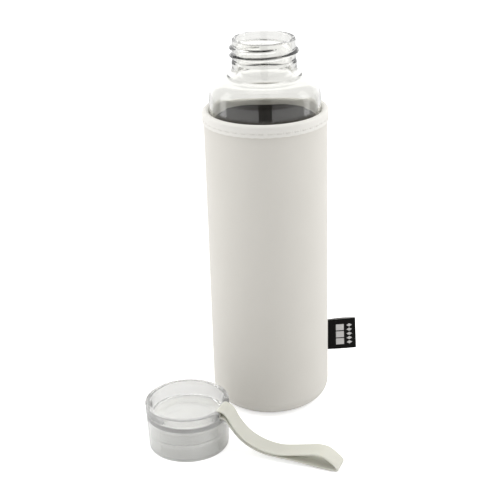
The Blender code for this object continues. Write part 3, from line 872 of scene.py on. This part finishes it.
def shell_profile():
    """The sleeve's outer layer: its section from the foot up the outside and down the inside."""
    centre_r = SLEEVE_R - CORNER
    profile = arc(centre_r, CORNER, CORNER, -90, 0, 16)
    profile += line((SLEEVE_R, CORNER), (SLEEVE_R, SHELL_TOP), 110)
    profile += [(SLEEVE_R, SHELL_TOP), (SLEEVE_R - SHELL, SHELL_TOP)]
    profile += line((SLEEVE_R - SHELL, SHELL_TOP), (SLEEVE_R - SHELL, CORNER), 8)
    profile += arc(centre_r, CORNER, CORNER - SHELL, 0, -90, 8)
    return profile


def shell_shape(radius, height, angle):
    """Soft unevenness of the outer face, and the side seam pulled in between two low rolls."""
    outer = ramp((radius - (SLEEVE_R - 0.5)) / 0.4) * ramp((height - 12.0) / 20.0)
    waves = unevenness(radius, height, angle, SLEEVE_WAVES)
    across = (angle - SEAM_ANGLE) * SLEEVE_R
    seam = -GROOVE_DEPTH * bell(across, GROOVE_HALF)
    seam += ROLL_HEIGHT * bell(abs(across) - ROLL_PLACE, ROLL_HALF)
    outer_wall = (radius > SLEEVE_R - 0.5) & (height < SHELL_TOP - 0.1)
    return radius + outer * waves + outer_wall * ramp((height - 8.0) / 8.0) * seam, height


def binding_profile():
    """The folded tape's section: up the outside, over the edge, down, and back inside the fold."""
    middle = (BINDING_OUTER_R + BINDING_INNER_R) / 2.0
    half = (BINDING_OUTER_R - BINDING_INNER_R) / 2.0
    crown = SLEEVE_TOP - half * BINDING_CROWN
    foot = SLEEVE_TOP - BINDING_DROP
    edge_z = foot + BINDING_EDGE
    hidden_inner_r = BINDING_INNER_R + BINDING
    hidden_outer_r = BINDING_OUTER_R - BINDING
    over = arc(middle, crown, half, 0, 180, 24)
    under = arc(middle, crown, half - BINDING, 180, 0, 12)
    profile = arc(BINDING_OUTER_R - BINDING_EDGE, edge_z, BINDING_EDGE, -90, 0, 4)
    profile += line((BINDING_OUTER_R, edge_z), (BINDING_OUTER_R, crown), 18)
    profile += [(x, crown + (z - crown) * BINDING_CROWN) for x, z in over]
    profile += line((BINDING_INNER_R, crown), (BINDING_INNER_R, foot), 8)
    profile += [(BINDING_INNER_R, foot), (hidden_inner_r, foot)]
    profile += line((hidden_inner_r, foot), (hidden_inner_r, crown), 4)
    profile += [(x, crown - 0.1 + (z - crown) * BINDING_CROWN) for x, z in under]
    profile += line((hidden_outer_r, crown), (hidden_outer_r, foot), 4)
    profile += [(hidden_outer_r, foot)]
    return profile


def stitch_count():
    """Stitches once round the binding."""
    return round(tau * BINDING_OUTER_R / STITCH_PITCH)


def binding_shape(radius, height, angle):
    """Stitches draw the tape in, most at each needle hole; its lower edge lies a little wavy."""
    outer = radius > BINDING_OUTER_R - 0.3
    line_z = SLEEVE_TOP - HEM_STITCH_DROP
    phase = (angle * stitch_count() / tau) % 1.0
    hole = bell(abs(phase - 0.5) - HOLE_PLACE, HOLE_HALF)
    pull = bell(height - line_z, LINE_HALF) * (LINE_PULL + HOLE_PULL * hole)
    low_edge = np.clip((line_z - height) / 2.0, 0.0, 1.0)
    puff = EDGE_PUFF * low_edge * (0.5 + 0.5 * np.cos(tau * phase))
    waves = unevenness(radius, height, angle, BINDING_WAVES)
    ripples = unevenness(radius, height, angle, BINDING_RIPPLES)
    droop = outer * low_edge * EDGE_WAVE * np.cos(angle * stitch_count())
    return radius - outer * (pull - puff) + waves * outer, height + droop + ripples


def lining_profile():
    """The lining's section, thinner at its top."""
    centre_r = SLEEVE_R - CORNER
    outer = CORNER - SHELL - FABRIC_GAP
    inner = outer - LINING
    relief_z = SLEEVE_TOP - LINING_RELIEF_DROP
    relief_foot = (LINING_RELIEF_R, relief_z + LINING_RELIEF_STEP)
    profile = arc(centre_r, CORNER, outer, -90, 0, 8)
    profile += line((centre_r + outer, CORNER), (centre_r + outer, SHELL_TOP), 8)
    profile += [(centre_r + outer, SHELL_TOP), (LINING_RELIEF_R, SHELL_TOP)]
    profile += line((LINING_RELIEF_R, SHELL_TOP), relief_foot, 6)
    profile += [relief_foot, (centre_r + inner, relief_z)]
    profile += line((centre_r + inner, relief_z), (centre_r + inner, CORNER), 90)
    profile += arc(centre_r, CORNER, inner, 0, -90, 12)
    return profile


def disc_profile(radius, low, high):
    """A flat disc with rounded edges."""
    edge = 0.2
    profile = flat_face(radius - edge, low, 0.0, 0.95, 12)
    profile += arc(radius - edge, low + edge, edge, -90, 0, 3)
    profile += arc(radius - edge, high - edge, edge, 0, 90, 3)
    profile += flat_face(radius - edge, high, 0.95, 0.0, 12)
    return profile


def stitch_row(name, middles, ways, outs, length, replaced, look):
    """One piece of many short threads, which dip into the cloth at both ends."""
    joined = bmesh.new()
    steps = np.linspace(-1.0, 1.0, 9)
    ring = np.linspace(0.0, tau, STITCH_SIDES, endpoint=False)
    section = np.stack((np.cos(ring), np.sin(ring)), axis=1) * THREAD_R
    thickness = np.sqrt(1.0 - STITCH_TAPER * steps ** 6)[:, None, None]
    for middle, way, out in zip(middles, ways, outs):
        way, out = np.array(way), np.array(out)
        side = np.cross(way, out)
        centres = []
        for step in steps:
            lift = THREAD_R * (STITCH_LIFT - STITCH_DIP * step ** 4)
            centres.append(middle + way * length / 2.0 * step + out * lift)
        around = (side * section[:, :1] + out * section[:, 1:])[None] * thickness
        joined.from_mesh(grid(name, np.array(centres)[:, None, :] + around))
    finish_joined(name, joined, look, "sleeve", replaced)


def ring_stitches(name, radius, height, count, out_is_up, replaced, look):
    """A row once round, lying on a wall, or on a floor where out is up."""
    up = np.array((0.0, 0.0, 1.0))
    middles, ways, outs = [], [], []
    for index in range(count):
        turn = tau * (index + 0.5) / count
        outward = np.array((cos(turn), sin(turn), 0.0))
        middles.append(outward * radius + up * height)
        ways.append((-sin(turn), cos(turn), 0.0))
        outs.append(up if out_is_up else outward)
    length = STITCH_LENGTH * (tau * radius / count) / STITCH_PITCH
    stitch_row(name, middles, ways, outs, length, replaced, look)


def seam_stitches(look):
    """The row beside the side seam, from the binding down to the curved foot."""
    turn = SEAM_ANGLE + SEAM_STITCH_OFFSET / SLEEVE_R
    outward = np.array((cos(turn), sin(turn), 0.0))
    run = SLEEVE_TOP - BINDING_DROP - SEAM_STITCH_DROP - SEAM_STITCH_FOOT
    count = round(run / STITCH_PITCH)
    heights = SEAM_STITCH_FOOT + (np.arange(count) + 0.5) * run / count
    middles = [outward * SLEEVE_R + np.array((0.0, 0.0, height)) for height in heights]
    ways = [(0.0, 0.0, 1.0)] * count
    stitch_row("side_seam_stitches", middles, ways, [outward] * count, STITCH_LENGTH,
               ("side_seam_stitch",), look)


def make_sleeve():
    cloth = fabric_look("sleeve_knit", SLEEVE_TONES, 0.62, 0.5, 0.05, 0.85, 0.25)
    tape = fabric_look("binding_knit", BINDING_TONES, 0.55, 0.45, 0.05, 0.85, 0.25)
    dark = fabric_look("lining_knit", LINING_TONES, 0.8, 0.6, 0.08, 0.9, 0.1)
    thread = thread_look()
    turned_piece("sleeve_cloth", shell_profile(), True, cloth, "sleeve", "sleeve_fabric",
                 ("sleeve_shell",), angles=sleeve_angles(), shape=shell_shape, uv_radius=SLEEVE_R)
    turned_piece("sleeve_lining_cloth", lining_profile(), True, dark, "sleeve", "lining_fabric",
                 ("sleeve_lining",), uv_radius=SLEEVE_R)
    columns = stitch_count() * 12
    turned_piece("folded_top_binding", binding_profile(), True, tape, "sleeve", "binding_fabric",
                 ("top_binding",), angles=np.arange(columns) * tau / columns, shape=binding_shape,
                 uv_radius=BINDING_OUTER_R)
    panel_r = SLEEVE_R - CORNER - FABRIC_GAP
    turned_piece("base_panel_cloth", disc_profile(panel_r, 0.0, SHELL), False, cloth, "sleeve",
                 "sleeve_fabric", ("base_panel",))
    base_low, base_high = box_of("base_lining")
    turned_piece("base_lining_cloth", disc_profile(panel_r, base_low.z, base_high.z), False, dark,
                 "sleeve", "lining_fabric", ("base_lining",))
    ring_stitches("hem_stitches", BINDING_OUTER_R - HEM_STITCH_SINK, SLEEVE_TOP - HEM_STITCH_DROP,
                  stitch_count(), False, ("hem_stitch",), thread)
    base_r = SLEEVE_R - CORNER - BASE_SEAM_INSET
    ring_stitches("base_seam_stitches", base_r, SHELL + FABRIC_GAP,
                  round(tau * base_r / STITCH_PITCH), True, ("base_seam_stitch",), thread)
    seam_stitches(thread)


# ---------------- label

def leaf_bow(reach):
    """How far each leaf bows away from the other."""
    share = np.clip((reach - LABEL_ROOT) / (LEAF_END - LABEL_ROOT), 0.0, 1.0)
    return LABEL_BULGE * np.sin(pi * share)


def label_outline():
    """The folded tape seen from above, as (reach, across): one leaf out, the fold, and back."""
    reach = np.linspace(LABEL_ROOT, LEAF_END, 20)
    bow = leaf_bow(reach)
    points = list(zip(reach, -LEAF_OUTER - bow))
    points += arc(LEAF_END, 0.0, LEAF_OUTER, -75, 75, 10)
    points += list(zip(reach[::-1], LEAF_OUTER + bow[::-1]))
    points += list(zip(reach, LEAF_INNER + bow))
    points += arc(LEAF_END, 0.0, LEAF_INNER, 60, -60, 4)
    points += list(zip(reach[::-1], -LEAF_INNER - bow[::-1]))
    return np.array(points)


def label_place(reach, across, height):
    """Turn the label's own coordinates into points, with the tape's sag, twist and flare."""
    out = (reach - LABEL_ROOT) / (LABEL_TIP - LABEL_ROOT)
    up = (height - LABEL_MIDDLE) / (label_high.z - LABEL_MIDDLE)
    swayed = across + LABEL_SWAY * np.sin(pi * out) + LABEL_TWIST * out * up
    flared = reach + LABEL_FLARE * out * (1.0 - up) / 2.0
    x = flared * cos(SEAM_ANGLE) - swayed * sin(SEAM_ANGLE)
    y = flared * sin(SEAM_ANGLE) + swayed * cos(SEAM_ANGLE)
    return np.stack((x, y, height - LABEL_SAG * out * out), axis=-1)


def make_label():
    outline = label_outline()
    heights = np.linspace(label_low.z + 0.1, label_high.z, 42)
    reach = np.repeat(outline[None, :, 0], len(heights), axis=0)
    across = np.repeat(outline[None, :, 1], len(heights), axis=0)
    height = np.repeat(heights[:, None], len(outline), axis=1)
    mesh = grid("folded_woven_label", label_place(reach, across, height))
    finish("folded_woven_label", mesh, tape_look("label_tape", LABEL_TONES), "label",
           ("woven_label",), ends=True, sharp=40.0)
    mesh.materials.append(tape_look("label_reverse", REVERSE_TONES))
    across_way = Vector((-sin(SEAM_ANGLE), cos(SEAM_ANGLE), 0.0))
    for face in mesh.polygons:
        faces_in = face.center.dot(across_way) * face.normal.dot(across_way) < 0.0
        face.material_index = int(faces_in)
    make_label_motif()


def motif_patches():
    """A plain pattern: three even blocks, and a row of small lozenges beside them."""
    patches = []
    for index in range(3):
        low = LABEL_MIDDLE + BLOCK_LOWEST + index * BLOCK_PITCH
        high = low + BLOCK_HEIGHT
        patches.append([(BLOCK_FROM, low), (BLOCK_TO, low), (BLOCK_TO, high), (BLOCK_FROM, high)])
    for index in range(5):
        centre = LABEL_MIDDLE + LOZENGE_LOWEST + index * LOZENGE_PITCH
        low, high = centre - LOZENGE_HALF_HEIGHT, centre + LOZENGE_HALF_HEIGHT
        patches.append([(LOZENGE_REACH - LOZENGE_HALF, centre), (LOZENGE_REACH, low),
                        (LOZENGE_REACH + LOZENGE_HALF, centre), (LOZENGE_REACH, high)])
    return patches


def make_label_motif():
    """Raised pale floats on both faces of the label."""
    joined = bmesh.new()
    shares = np.linspace(0.0, 1.0, 7)[:, None]
    for side in (-1.0, 1.0):
        for patch in motif_patches():
            corners = np.array(patch)
            low = corners[0] + (corners[1] - corners[0]) * shares
            high = corners[3] + (corners[2] - corners[3]) * shares
            outline = np.concatenate((low, high[::-1]))
            centre = outline.mean(axis=0)
            layers = []
            for inset, lift in PATCH_LAYERS:
                reach, height = (centre + (outline - centre) * (1.0 - inset)).T
                across = side * (LEAF_OUTER + lift + leaf_bow(reach))
                layers.append(label_place(reach, across, height))
            joined.from_mesh(grid("patch", np.array(layers)))
    finish_joined("label_motif", joined, tape_look("label_pale_weft", WEFT_TONES), "label",
                  sharp=30.0)


# ---------------- studio

def make_floor():
    """A round white table top."""
    made, tree, shader = new_look("white_table", 0.9, 0.0)
    cloud = noise_of(tree, solid_place(tree), 30.0)
    tree.links.new(two_tones(tree, cloud, TABLE_TONES), shader.inputs["Base Color"])
    path = node(tree, "ShaderNodeLightPath")
    glow = times(tree, path.outputs["Is Camera Ray"], FLOOR_GLOW)
    shader.inputs["Emission Color"].default_value = WHITE
    tree.links.new(glow, shader.inputs["Emission Strength"])
    profile = flat_face(FLOOR_R, -FLOOR_DROP, 0.0, 1.0, 12)
    profile += [(FLOOR_R, -FLOOR_DROP - FLOOR_RIM)]
    places, along, across = turned(profile, False)
    mesh = grid("table_top", places, along=along, across=across)
    mesh.materials.append(made)
    in_scene("table_top", mesh)


def make_world():
    """White light all round, dimmer from the front, with a narrow dark band straight in front."""
    world = bpy.data.worlds.new("studio")
    bpy.context.scene.world = world
    world.use_nodes = True
    tree = world.node_tree
    way = node(tree, "ShaderNodeSeparateXYZ")
    tree.links.new(node(tree, "ShaderNodeTexCoord").outputs["Generated"], way.inputs[0])
    x, y, z = way.outputs
    front = times(tree, y, -1.0)
    high = soft_step(tree, front, 0.2, 0.95, WORLD_LEVEL, WORLD_FRONT)
    low = soft_step(tree, front, -0.2, 0.4, WORLD_LOW_BACK, WORLD_LOW_FRONT)
    rise = soft_step(tree, z, -0.16, -0.04, 0.0, 1.0)
    sunk = maths(tree, "SUBTRACT", 1.0, rise)
    level = plus(tree, times(tree, high, rise), times(tree, low, sunk))
    aside = maths(tree, "DIVIDE", maths(tree, "ABSOLUTE", x), maths(tree, "MAXIMUM", front, 0.001))
    narrow = times(tree, maths(tree, "LESS_THAN", aside, BAND_HALF),
                   maths(tree, "GREATER_THAN", front, 0.3))
    shade = times(tree, narrow, soft_step(tree, z, BAND_LOW, BAND_LOW + BAND_SOFT, 0.0, BAND_DARK))
    level = times(tree, level, maths(tree, "SUBTRACT", 1.0, shade))
    path = node(tree, "ShaderNodeLightPath")
    backdrop = times(tree, path.outputs["Is Camera Ray"], WORLD_SEEN)
    background = tree.nodes["Background"]
    background.inputs["Color"].default_value = WHITE
    tree.links.new(maths(tree, "MAXIMUM", level, backdrop), background.inputs["Strength"])


def soft_box(name, place, aim, width, height, level):
    """A rectangular area light of the given radiance, unseen by the camera."""
    data = bpy.data.lights.new(name, "AREA")
    data.shape = "RECTANGLE"
    data.size, data.size_y = width, height
    data.energy = level * pi * width * height
    made = in_scene(name, data)
    made.location = place
    made.rotation_euler = (Vector(aim) - Vector(place)).to_track_quat("-Z", "Y").to_euler()
    made.visible_camera = False


def make_camera():
    data = bpy.data.cameras.new("camera")
    data.sensor_width = CAMERA_SENSOR
    data.lens = CAMERA_LENS
    made = in_scene("camera", data)
    yaw = Matrix.Rotation(-CAMERA_YAW, 4, "Z")
    pitch = Matrix.Rotation(pi / 2 - CAMERA_PITCH, 4, "X")
    roll = Matrix.Rotation(CAMERA_ROLL, 4, "Z")
    made.matrix_world = Matrix.Translation(CAMERA_AT) @ yaw @ pitch @ roll
    bpy.context.scene.camera = made


def set_film():
    """Plain sRGB tones, and enough bounces for light to cross the nested clear walls."""
    scene = bpy.context.scene
    scene.view_settings.view_transform = "Standard"
    scene.cycles.max_bounces = LIGHT_BOUNCES
    scene.cycles.transmission_bounces = LIGHT_BOUNCES
    scene.cycles.transparent_max_bounces = LIGHT_BOUNCES


make_camera()
make_world()
for soft_box_row in SOFT_BOXES:
    soft_box(*soft_box_row)
make_floor()
make_sleeve()
make_label()
make_bottle()
make_cap()
make_strap()
set_film()
